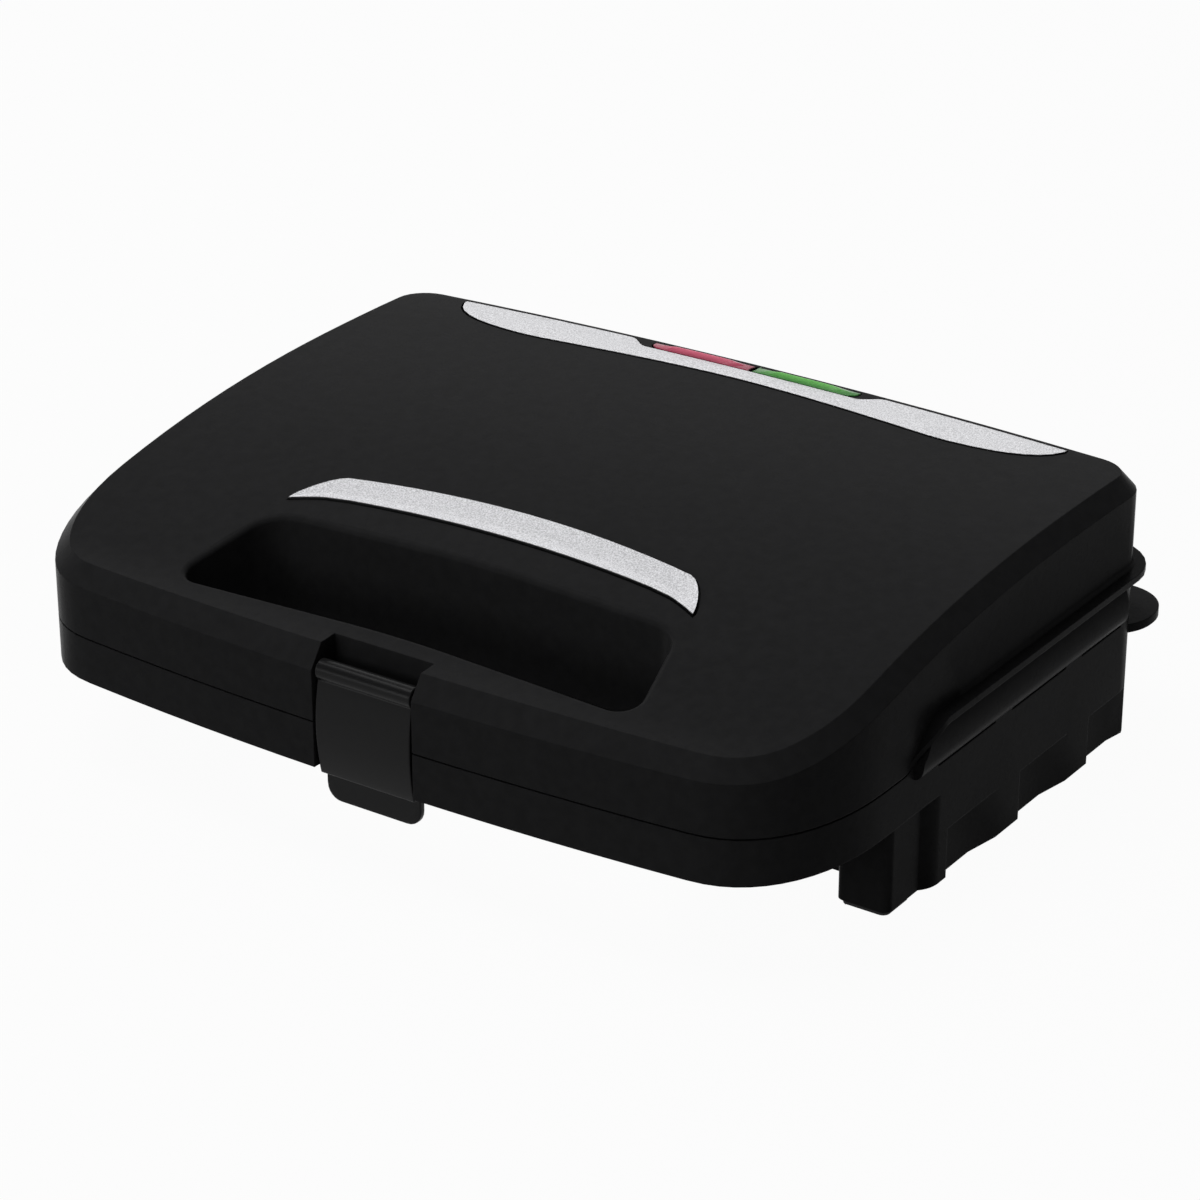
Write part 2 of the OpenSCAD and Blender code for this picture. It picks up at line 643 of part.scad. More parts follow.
module lower_housing() color("#17181a") stand() {
    swing_r = barrel_r + 0.8;
    difference() {
        union() {
            intersection() {
                union() {
                    translate([0, 0, -body_drop]) linear_extrude(body_drop + seam_h)
                        polygon(ring_of(half_line(0)));
                    both() bead();
                }
                across(-far / 2, far / 2) body_side_view();
            }
            both() rounded_block(leg_x, leg_x + leg_w, leg_y, body_y + body_r + 4, -body_drop,
                -grip_drop + hair, leg_r);
            rear_stand();
            ears();
        }
        both() body_corner();
        // Seat of the plate, and the space below it that is open to the cover
        rounded_block(-plate_half, plate_half, plate_front, plate_rear, rest_z, seam_h + 1, plate_r);
        rounded_block(-plate_half + plate_ledge, plate_half - plate_ledge, plate_front + plate_ledge,
            plate_rear - plate_ledge, -body_drop - 1, rest_z + hair, plate_r - 1);
        rounded_block(-plate_half + cover_inset, plate_half - cover_inset, plate_front + cover_inset,
            plate_rear - cover_inset, -body_drop - 1, cover_z + cover_t, plate_r);
        translate([0, 0, -grip_drop - 1]) linear_extrude(grip_drop + 1) polygon(grip_line(0));
        both() scoops();
        both() bar(hinge_half - 2 * lug_w, hinge_half + 2 * lug_w, hinge_y, hinge_z, hinge_pin_r);
        both() translate([hinge_half - lug_w / 2 - lug_play, hinge_y - swing_r, hinge_z - swing_r])
            cube([lug_w + 2 * lug_play, 3 * barrel_r, 3 * barrel_r]);
        // Recess that the latch clip lies in
        translate([-clip_half, -2, -grip_drop - 1]) cube([2 * clip_half, 2 + clip_seat, grip_drop + 1]);
        translate([0, body_rear + 1, -cord_drop]) rotate([90, 0, 0])
            cylinder(h = 2 * (wall + plate_ledge) + 1, r = cord_hole_r);
    }
    for (p = cover_screw_at) translate([p.x, p.y, cover_z + cover_t]) cover_boss(p.x);
}

module bottom_cover() color("#1d1e20") stand() {
    gap = cover_inset + cover_gap;
    rib_half = vents * vent_pitch * 0.6;
    rib_y = vent_len / 2 + 12;
    difference() {
        rounded_block(-plate_half + gap, plate_half - gap, plate_front + gap, plate_rear - gap,
            cover_z, cover_z + cover_t, plate_r - cover_gap);
        for (p = cover_screw_at) translate([p.x, p.y, cover_z - 1]) {
            cylinder(h = cover_t + 2, r = screw_r + screw_ease);
            cylinder(h = 1 + screw_head_h - head_sink, r = screw_head_r + screw_ease);
        }
        for (i = [0 : vents - 1]) translate([(i - (vents - 1) / 2) * vent_pitch, plate_mid, cover_z - 1])
            rounded_block(-vent_w / 2, vent_w / 2, -vent_len / 2, vent_len / 2, 0, cover_t + 2,
                vent_w / 2 - 0.05);
    }
    for (y = [-rib_y, rib_y]) translate([-rib_half, plate_mid + y - 1, cover_z + cover_t - hair])
        cube([2 * rib_half, 2, 5]);
}

module front_feet() color("#0c0c0d") stand() both() {
    rounded_block(leg_x + 1, leg_x + leg_w - 1, leg_y + 1, body_y + 1, floor_z, -body_drop, leg_r - 0.3);
}

module rear_feet() color("#0c0c0d") stand() both() {
    translate([rear_foot_at.x, rear_foot_at.y, floor_z]) cylinder(h = cover_z - floor_z, r = rear_foot_r);
}

module cover_screws() color("#a9abae") stand() {
    for (p = cover_screw_at) translate([p.x, p.y, cover_seat_z]) screw(cover_screw_len);
}

// Sections of a pocket from its rim down: how deep each lies, as a share, and how far its wall leans in
pocket_levels = [[0, 0], [0.7, 0.55], [1, 1]];

// Outline of one half pocket, a right triangle with rounded corners, drawn in by d
module half_pocket_flat(d) {
    s = pocket_size / 2 - d;
    tip = pocket_size / 2 - 2 * ridge_w - (1 + sqrt(2)) * d;
    polygon(rounded([[-s, -s], [tip, -s], [-s, tip]], [pocket_r, pocket_r / 2, pocket_r / 2], 0, 5));
}

// One half pocket, sunk from z = 0 to its depth, with leaning walls and a soft floor
module half_pocket(depth) {
    hull() {
        linear_extrude(1) half_pocket_flat(0);
        for (level = pocket_levels) translate([0, 0, -depth * level[0]])
            linear_extrude(hair) half_pocket_flat(pocket_draft * level[1]);
    }
}

// Pan round one pocket: the pocket's sections a wall wider and a wall lower
module pan(depth) {
    hull() for (level = pocket_levels) {
        half = pocket_size / 2 + pan_wall - pocket_draft * level[1];
        z = -plate_t - depth * level[0];
        rounded_block(-half, half, -half, half, z, z + hair, pocket_r + pan_wall, $fn = 24);
    }
}

// Plate with two split pockets, its face at z = 0 and its pans below
module toast_plate(depth) {
    difference() {
        union() {
            rounded_block(-plate_half + plate_gap, plate_half - plate_gap, plate_front + plate_gap,
                plate_rear - plate_gap, -plate_t, 0, plate_r - plate_gap);
            for (s = [-1, 1]) translate([s * pocket_pitch / 2, plate_mid, 0]) pan(depth);
        }
        for (s = [-1, 1]) translate([s * pocket_pitch / 2, plate_mid, 0]) mirror([s < 0 ? 1 : 0, 0, 0]) {
            half_pocket(depth);
            rotate([0, 0, 180]) half_pocket(depth);
        }
    }
}

// Bosses on the back of a plate, from z0 to z1, that the screws bite into from the z1 side
module plate_boss(z0, z1) {
    for (p = plate_screw_at) translate([p.x, p.y, min(z0, z1)]) difference() {
        cylinder(h = abs(z1 - z0), r = boss_r);
        translate([0, 0, z1 > z0 ? z1 - z0 - plate_screw_len : -1])
            cylinder(h = plate_screw_len + 1, r = screw_r);
    }
}

module lower_plate() color("#2b2c2e") stand() {
    translate([0, 0, seam_h - half_gap]) toast_plate(lower_pocket);
    plate_boss(rest_z + hair, reflector_low + reflector_t);
}

module upper_plate() color("#2b2c2e") stand() {
    translate([0, 0, seam_h + half_gap]) mirror([0, 0, 1]) toast_plate(upper_pocket);
    plate_boss(roof_z - hair, reflector_high);
}

// Heating tube bent into a long loop, its axis at height z, with two cold ends at the rear
module heating_loop(z) {
    r = loop_span / 2;
    cold_end = 14;
    rod_end = 6;
    for (s = [-1, 1]) translate([s * loop_half, plate_mid, z]) rotate([0, 0, s > 0 ? -90 : 90])
        rotate_extrude(angle = 180) translate([r, 0]) circle(tube_r);
    bar(-loop_half, loop_half, plate_mid - r, z, tube_r);
    both() {
        bar(cold_end, loop_half, plate_mid + r, z, tube_r);
        bar(rod_end, cold_end + 0.5, plate_mid + r, z, rod_r);
    }
}

module lower_element() color("#8a8b8d") stand() heating_loop(pan_low - tube_r);

module upper_element() color("#8a8b8d") stand() heating_loop(pan_high + tube_r);

// Shallow sheet tray, its floor from z0, with its rim turned to the plate
module reflector_tray(x_half, y0, y1, z0, up) {
    r = 8;
    difference() {
        rounded_block(-x_half, x_half, y0, y1, up ? z0 : z0 - reflector_rim + reflector_t,
            up ? z0 + reflector_rim : z0 + reflector_t, r);
        rounded_block(-x_half + reflector_t, x_half - reflector_t, y0 + reflector_t, y1 - reflector_t,
            up ? z0 + reflector_t : z0 - reflector_rim, up ? z0 + reflector_rim + 1 : z0, r - reflector_t);
        for (p = plate_screw_at) translate([p.x, p.y, z0 - 1])
            cylinder(h = reflector_t + 2, r = screw_r + screw_ease);
    }
}

module lower_reflector() color("#b9bbbd") stand()
    reflector_tray(cavity_half - 2 * tray_inset, cavity_front + tray_inset, cavity_rear - tray_inset,
        reflector_low, true);

module upper_reflector() color("#b9bbbd") stand()
    reflector_tray(cavity_half - 2 * tray_inset, cavity_front + tray_inset + 1, cavity_rear - tray_inset,
        reflector_high, false);

module lower_plate_screws() color("#a9abae") stand()
    for (p = plate_screw_at) translate([p.x, p.y, reflector_low]) screw(plate_screw_len);

module upper_plate_screws() color("#a9abae") stand()
    for (p = plate_screw_at) translate([p.x, p.y, reflector_high + reflector_t]) mirror([0, 0, 1])
        screw(plate_screw_len);

// Flanged ring in the rear wall
module cord_gland() color("#101112") stand() {
    flange_h = 1.8;
    length = wall + plate_ledge;
    translate([0, body_rear, -cord_drop]) rotate([90, 0, 0]) difference() {
        union() {
            translate([0, 0, -flange_h]) cylinder(h = flange_h, r = cord_hole_r + 2);
            cylinder(h = length, r = cord_hole_r - 0.05);
        }
        translate([0, 0, -flange_h - 1]) cylinder(h = flange_h + length + 2, r = cord_hole_r - 1.2);
    }
}

// Block with a bore for each of the cord's three wires
module terminal_block() color("#e6e2d6") stand() {
    bore_r = 2;
    translate([-block_w / 2, plate_rear - 2 * block_d, cover_z + cover_t]) difference() {
        cube([block_w, block_d, block_h]);
        for (i = [-1 : 1]) translate([block_w / 2 + i * 0.31 * block_w, -1, block_h / 2])
            rotate([-90, 0, 0]) cylinder(h = block_d + 2, r = bore_r);
    }
}

module hinge_pins() color("#c9cbcd") stand() both() {
    reach = lug_w / 2 + lug_play + ear_w;
    bar(hinge_half - reach, hinge_half + reach, hinge_y, hinge_z, hinge_pin_r - pin_slip);
}

// Disc thermostat on the back of the right pan, with its two tabs
module thermostat() color("#c7c2b4") stand() translate([pocket_pitch / 2, plate_mid, pan_high]) {
    rim_h = 1.2;
    tab = [6, 7, 0.8];
    cylinder(h = rim_h, r = thermostat_r);
    cylinder(h = thermostat_h, r = thermostat_r - 1.5);
    for (y = [-1, 1]) translate([0, y * (thermostat_r + 1.5), thermostat_h / 2]) cube(tab, center = true);
}

// Fuse in its sleeve on the back of the left pan, held by a saddle
module thermal_fuse() color("#e9e4d8") stand() translate([-pocket_pitch / 2, plate_mid, pan_high]) {
    saddle = [6, 10, fuse_r + 0.4];
    bar(-fuse_len / 2, fuse_len / 2, 0, saddle.z, fuse_r);
    translate([-saddle.x / 2, -saddle.y / 2, 0]) cube(saddle);
}

// Flange along the sides and the rear, seen from above, with its front end drawn in
module flange_flat() {
    start = step_y + 2;
    run = step_len - 4;
    side = [for (i = [0 : 8]) [half_w + flange_w * ease(i / 8), start + run * i / 8]];
    rear = [for (p = half_line(-flange_w)) if (p.y > lid_depth * 0.7) p];
    half = concat([[half_w - 6, start]], side, rear);
    polygon(concat(half, [for (i = [len(half) - 1 : -1 : 0]) [-half[i].x, half[i].y]]));
}

module flange() {
    intersection() {
        linear_extrude(seam_h + 8) flange_flat();
        across(-far / 2, far / 2) polygon(concat(step_line(half_gap),
            [[far, seam_h + half_gap], [far, seam_h + half_gap + flange_t]],
            [for (i = [12 : -1 : 0]) step_line(half_gap + flange_t)[i]]));
    }
}

// Concave fillet between the skirt and the flange, fading out at the step
module flange_fillet_ring() {
    inner = half_line(0);
    outer = half_line(-1);
    steps = 4;
    loft([for (k = [0 : steps]) let (a = 90 * k / steps)
        ring_of([for (i = [0 : n_half - 1])
            let (fade = ease((inner[i].y - step_end - 2) / 12),
                 reach = lerp(-1.5, flange_fillet * (1 - sin(a)) - 0.3, fade))
            concat(inner[i] + (outer[i] - inner[i]) * reach,
                seam_h + half_gap + flange_t / 2 + (flange_fillet + flange_t / 2) * (1 - cos(a)))])]);
}

// Lugs at the rear that turn on the hinge pins
module lid_lugs() {
    both() translate([hinge_half - lug_w / 2, 0, 0]) {
        bar(0, lug_w, hinge_y, hinge_z, barrel_r);
        translate([0, hinge_y - barrel_r, hinge_z]) cube([lug_w, 2 * barrel_r - 1, seam_h - hinge_z + 3]);
        translate([0, lid_depth - 6, seam_h + half_gap]) cube([lug_w, 8, 6]);
    }
}

module upper_housing() color("#1b1c1e") stand() {
    skirt = ring_of(half_line(0));
    roof = ring_of(half_line(bevel));
    difference() {
        union() {
            difference() {
                union() {
                    crowned_loft([
                        [for (p = skirt) [p.x, p.y, half_gap]],
                        [for (p = skirt) [p.x, p.y, edge_top(p.y) - bevel]],
                        [for (p = roof) [p.x, p.y, top_z(p.x, p.y)]]], 0);
                    flange();
                    flange_fillet_ring();
                }
                across(-far / 2, far / 2) polygon(concat([[step_y, -5]], step_line(half_gap),
                    [[lid_depth + 20, seam_h + half_gap], [lid_depth + 20, -5]]));
            }
            lid_lugs();
        }
        rounded_block(-plate_half, plate_half, plate_front, plate_rear, seam_h - 1, roof_z, plate_r);
        under_top(cavity_half, cavity_front, cavity_rear, roof_z - 1, top_wall, 12);
        // Pocket under the lenses for the two lamps
        translate([-lamp_pocket, cavity_rear - 3, lamp_floor])
            cube([2 * lamp_pocket, lamp_depth + 3, top_z(0, cavity_rear) - top_wall - lamp_floor]);
        grip_cutter();
        top_strip(grip_trim_rows(trim_gap), 4, 0, trim_deep);
        top_strip(rear_trim_rows(trim_gap), 4, 0, trim_deep);
        top_strip(lens_rows(-lens_split - lens_len, lens_split + lens_len, lens_gap), 4, 0, top_wall + 0.5);
        // Pocket for the clip's knuckle, the recess for its plate and the holes for its pin
        translate([-clip_half, -2, latch_pin_z - knuckle_r - 0.5])
            cube([2 * clip_half, latch_pocket + 2, 14]);
        translate([-clip_half, -2, -1]) cube([2 * clip_half, clip_seat + 2, latch_pin_z]);
        bar(-latch_pin_half, latch_pin_half, latch_pin_y, latch_pin_z, latch_pin_r);
        both() bar(hinge_half - lug_w, hinge_half + lug_w, hinge_y, hinge_z, hinge_pin_r + pin_slip);
    }
}

module grip_trim() color("#d6d7d9") stand() top_strip(grip_trim_rows(0), trim_proud, trim_ridge, trim_deep);

module rear_trim() color("#d6d7d9") stand() top_strip(rear_trim_rows(0), trim_proud, trim_ridge, trim_deep);

module red_lens() color("#e27386") stand()
    top_strip(lens_rows(-lens_split - lens_len, -lens_split, 0), trim_proud, lens_ridge, top_wall);

module green_lens() color("#72c367") stand()
    top_strip(lens_rows(lens_split, lens_split + lens_len, 0), trim_proud, lens_ridge, top_wall);

// Neon lamp lying across under its lens, in a trough of the holder
module lamp(middle, play) {
    bar(middle - lamp_len / 2 - play, middle + lamp_len / 2 + play, cavity_rear, lamp_z, lamp_r + play / 5);
}

module red_lamp() color("#f2a08c") stand() lamp(-lamp_mid, 0);

module green_lamp() color("#b9e6b0") stand() lamp(lamp_mid, 0);

module lamp_holder() color("#e8e6df") stand() difference() {
    translate([-lamp_pocket + lamp_wall, cavity_rear - 1.3 * lamp_r, lamp_floor])
        cube([2 * (lamp_pocket - lamp_wall), lamp_depth + 1.1 * lamp_r, lamp_z - lamp_floor]);
    for (x = [-lamp_mid, lamp_mid]) lamp(x, 0.1);
}

module latch_pin() color("#c9cbcd") stand()
    bar(-latch_pin_half + 0.2, latch_pin_half - 0.2, latch_pin_y, latch_pin_z, latch_pin_r - 0.01);

// Side view of the clip: knuckle, bulging plate, barb under the grip and finger tab set back from it
module clip_side_view() {
    low = -grip_drop - barb_gap;
    top = latch_pin_z - latch_pin_r;
    foot = low - barb_t;
    mid = (top + foot) / 2;
    bulge = [for (i = [0 : 12]) let (z = lerp(top, foot, i / 12))
        [clip_bulge * pow((z - mid) / (top - mid), 2) + hair, z]];
    tab_front = clip_bulge + tab_set;
    tab_back = tab_front + clip_t - 0.4;
    translate([latch_pin_y, latch_pin_z]) circle(knuckle_r);
    polygon(concat(
        bulge,
        [[tab_front, foot - 0.6], [tab_front, foot - tab_len], [tab_back, foot - tab_len]],
        [[tab_back, foot - 1], [clip_seat + barb_reach - 0.6, foot], [clip_seat + barb_reach, low]],
        [[clip_bulge + clip_t - 0.4, low]],
        [for (i = [10 : -1 : 0]) [bulge[i].x + clip_t, bulge[i].y]]
    ));
}

module latch_clip() color("#1b1c1e") stand() {
    bottom = -grip_drop - barb_gap - barb_t - tab_len;
    side = clip_w / 2;
    corner = [for (i = [0 : 6]) [sin(i * 15), cos(i * 15)] * tab_r];
    difference() {
        across(-side, side) clip_side_view();
        both() translate([0, 20, 0]) rotate([90, 0, 0]) linear_extrude(40) polygon(concat(
            [for (c = corner) [side - tab_r + c.x, bottom + tab_r - c.y]],
            [[side + 3, bottom + tab_r], [side + 3, bottom - 3], [side - tab_r, bottom - 3]]));
        bar(-clip_w, clip_w, latch_pin_y, latch_pin_z, latch_pin_r + pin_slip);
    }
}

lower_housing();
bottom_cover();
front_feet();
rear_feet();
cover_screws();
lower_plate();
lower_element();
lower_reflector();
lower_plate_screws();
cord_gland();
terminal_block();
hinge_pins();
upper_housing();
upper_plate();
upper_element();
upper_reflector();
upper_plate_screws();
thermostat();
thermal_fuse();
grip_trim();
rear_trim();
red_lens();
green_lens();
red_lamp();
green_lamp();
lamp_holder();
latch_pin();
latch_clip();
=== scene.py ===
import json
import math

import bmesh
import bpy
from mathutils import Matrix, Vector


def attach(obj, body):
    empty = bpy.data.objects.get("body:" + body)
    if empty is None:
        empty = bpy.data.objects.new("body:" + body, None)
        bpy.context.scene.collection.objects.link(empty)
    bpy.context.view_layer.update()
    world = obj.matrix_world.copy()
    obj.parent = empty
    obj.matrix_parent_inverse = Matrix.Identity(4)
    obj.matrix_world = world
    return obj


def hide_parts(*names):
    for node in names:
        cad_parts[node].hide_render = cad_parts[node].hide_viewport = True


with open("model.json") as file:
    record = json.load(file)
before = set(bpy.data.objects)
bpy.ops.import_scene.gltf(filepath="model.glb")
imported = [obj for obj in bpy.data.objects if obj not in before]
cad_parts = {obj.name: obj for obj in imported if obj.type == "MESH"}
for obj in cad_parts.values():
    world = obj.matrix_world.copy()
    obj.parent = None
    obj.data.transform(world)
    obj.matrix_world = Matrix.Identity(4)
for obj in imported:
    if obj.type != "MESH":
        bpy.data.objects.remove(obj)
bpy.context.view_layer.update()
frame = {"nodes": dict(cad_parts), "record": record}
scene = bpy.context.scene
nodes = frame["nodes"]

MM = 0.001

# Crowned top of the lid, in mm: its edge line rises from the nose to a peak behind the rear edge
NOSE_H, HOOD_RISE, RISE_Y, PEAK_Y, RISE_POW = 19.4, 20, 14, 160, 2.35
RISE_SOFTNESS = 60
CROWN = 1.7
HALF_W = 128.5
FRONT_TO_MIDDLE = 106
FLOOR_Z = -42

# Faces of the lid that count as its top: their least height, upward share and fit with the crown
TOP_FROM = 60 * MM
TOP_UPWARD = 0.8
TOP_FIT = 0.985

# Trims and lenses, in mm: rim and crease over the top in the solids, and the run in which a crease fades
HEIGHT = "height"
RIM_LEVEL = 0.5
STRIP_RIM = 0.5
STRIP_RIDGE = {"grip_trim": 0.5, "rear_trim": 0.5, "red_lens": 0.9, "green_lens": 0.9}
STRIP_FADE = 9
STRIP_SIDE = 0.5
STRIP_SHARP = math.radians(12)
STRIP_CORNER = math.radians(45)

# Screws and heating tubes
SCREW_HEAD_R, SCREW_HEAD_H, SCREW_R, SCREW_PITCH = 3 * MM, 1.6 * MM, 1.5 * MM, 0.9 * MM
CROSS_W, CROSS_SPAN, CROSS_DEPTH = 0.7 * MM, 3.4 * MM, 0.6
HEAD_DOME = 0.35
CORE_SHARE, THREAD_SHARE, THREADED = 0.8, 0.16, 0.96
SAME_SPOT = 0.5 * MM
COLD_END, ROD_END, ROD_R = 14 * MM, 6 * MM, 1.4 * MM

# Edges in mm, and the angles in degrees from which an edge is kept sharp
DOUBLES = 0.004 * MM
SHARP = 30
LID_SHARP = 28
ROUNDED = {
    "front_feet": ("front_pads", 0.3),
    "rear_feet": ("rear_pads", 0.3),
    "lower_plate": ("lower_baking_plate", 0.6),
    "upper_plate": ("upper_baking_plate", 0.6),
    "latch_clip": ("front_clip", 0.4),
}

# The photo's camera, the lamps and the white surround
EYE = (0.568017, -0.826599, 0.512876)
EYE_DOWN, EYE_TURN = 25.211, 34.352
EYE_LENS, EYE_SENSOR = 117.98, 36
LAMP_AIM = (0, 0, 0.05)
LAMPS = {
    "overhead": ((-0.4, -0.25, 1.6), (1.1, 1.1), 16),
    "beside_camera": ((1.3, -0.9, 1.5), (0.7, 0.7), 0.8),
    "front_left": ((-0.5, -1.6, 0.45), (0.9, 0.5), 5),
    "rear_card": ((-1.0, 1.5, 1.35), (2.1, 1.2), 10.5),
}
WALL_TOP, WALL_FADE, CEILING, AMBIENT = 0.24, 0.2, 0.05, 0.1
FLOOR_REACH, FLOOR_TONE, FLOOR_GLOW = 6.0, 0.5, 0.96


class Finish:
    """A finish under construction: its shader, and short calls for the nodes that feed it."""

    def __init__(self, name, color, roughness, **sockets):
        self.material = bpy.data.materials.new(name)
        self.material.use_nodes = True
        self.tree = self.material.node_tree
        self.shader = self.tree.nodes["Principled BSDF"]
        self.place = self.node("TexCoord").outputs["Object"]
        self.edge_normal = None
        self.put("Base Color", (*color, 1))
        self.put("Roughness", roughness)
        for socket, value in sockets.items():
            self.put(socket.replace("_", " "), value)

    def put(self, socket, value):
        self.shader.inputs[socket].default_value = value

    def node(self, kind, **values):
        made = self.tree.nodes.new("ShaderNode" + kind)
        for name, value in values.items():
            if hasattr(made, name):
                setattr(made, name, value)
            else:
                made.inputs[name.replace("_", " ")].default_value = value
        return made

    def link(self, output, entry):
        self.tree.links.new(output, entry)

    def stretched(self, scale):
        """Object coordinates squeezed along some of their axes, for grain with a direction."""
        mapping = self.node("Mapping")
        mapping.inputs["Scale"].default_value = scale
        self.link(self.place, mapping.inputs["Vector"])
        return mapping.outputs["Vector"]

    def noise(self, scale, detail=2, at=None):
        made = self.node("TexNoise", Scale=scale, Detail=detail)
        self.link(at or self.place, made.inputs["Vector"])
        return made.outputs["Fac"]

    def cells(self, scale, at=None):
        made = self.node("TexVoronoi", Scale=scale)
        self.link(at or self.place, made.inputs["Vector"])
        return made.outputs["Distance"]

    def spread(self, value, low, high, start=0.3, stop=0.7):
        """A texture's value carried from start..stop to low..high."""
        made = self.node("MapRange")
        for name, number in (("From Min", start), ("From Max", stop), ("To Min", low), ("To Max", high)):
            made.inputs[name].default_value = number
        self.link(value, made.inputs["Value"])
        return made.outputs["Result"]

    def tint(self, value, low, high, start=0.3, stop=0.7):
        """Base colour that runs from low to high with a texture's value."""
        ramp = self.node("ValToRGB")
        for end, place, color in zip(ramp.color_ramp.elements, (start, stop), (low, high)):
            end.position = place
            end.color = (*color, 1)
        self.link(value, ramp.inputs["Fac"])
        self.link(ramp.outputs["Color"], self.shader.inputs["Base Color"])
        return self

    def rough(self, value, low, high, start=0.3, stop=0.7):
        self.link(self.spread(value, low, high, start, stop), self.shader.inputs["Roughness"])
        return self

    def height_over(self, value, share):
        """A strip's own level, 0 at its flanks' feet and 1 at its crease, plus a share of a texture; the
        lenses paint their highlight and shade by it.
        """
        made = self.node("Math", operation="MULTIPLY_ADD")
        self.link(value, made.inputs[0])
        made.inputs[1].default_value = share
        self.link(self.node("Attribute", attribute_name=HEIGHT).outputs["Fac"], made.inputs[2])
        return made.outputs[0]

    def flanks(self, color):
        """The base colour so far, with a painted shade colour below a trim's or lens's rim, standing in for
        the gap around it.
        """
        height = self.node("Attribute", attribute_name=HEIGHT).outputs["Fac"]
        mix = self.node("MixRGB")
        below = self.spread(height, 1, 0, RIM_LEVEL - 0.06, RIM_LEVEL - 0.01)
        self.link(below, mix.inputs["Fac"])
        self.link(self.shader.inputs["Base Color"].links[0].from_socket, mix.inputs["Color1"])
        mix.inputs["Color2"].default_value = (*color, 1)
        self.link(mix.outputs["Color"], self.shader.inputs["Base Color"])

    def soft_edges(self, radius):
        """Edges that catch the light as if rounded to a radius in mm."""
        edge = self.node("Bevel", samples=4)
        edge.inputs["Radius"].default_value = radius * MM
        self.edge_normal = edge.outputs["Normal"]
        return self

    def grain(self, *layers):
        """Bumps laid one over another, each given as a texture's value, its depth in mm and its strength."""
        normal = self.edge_normal
        for value, depth, strength in layers:
            bump = self.node("Bump", Strength=strength, Distance=depth * MM)
            self.link(value, bump.inputs["Height"])
            if normal:
                self.link(normal, bump.inputs["Normal"])
            normal = bump.outputs["Normal"]
        self.link(normal, self.shader.inputs["Normal"])
        return self


def shade(level):
    return (level, level, level * 1.03)


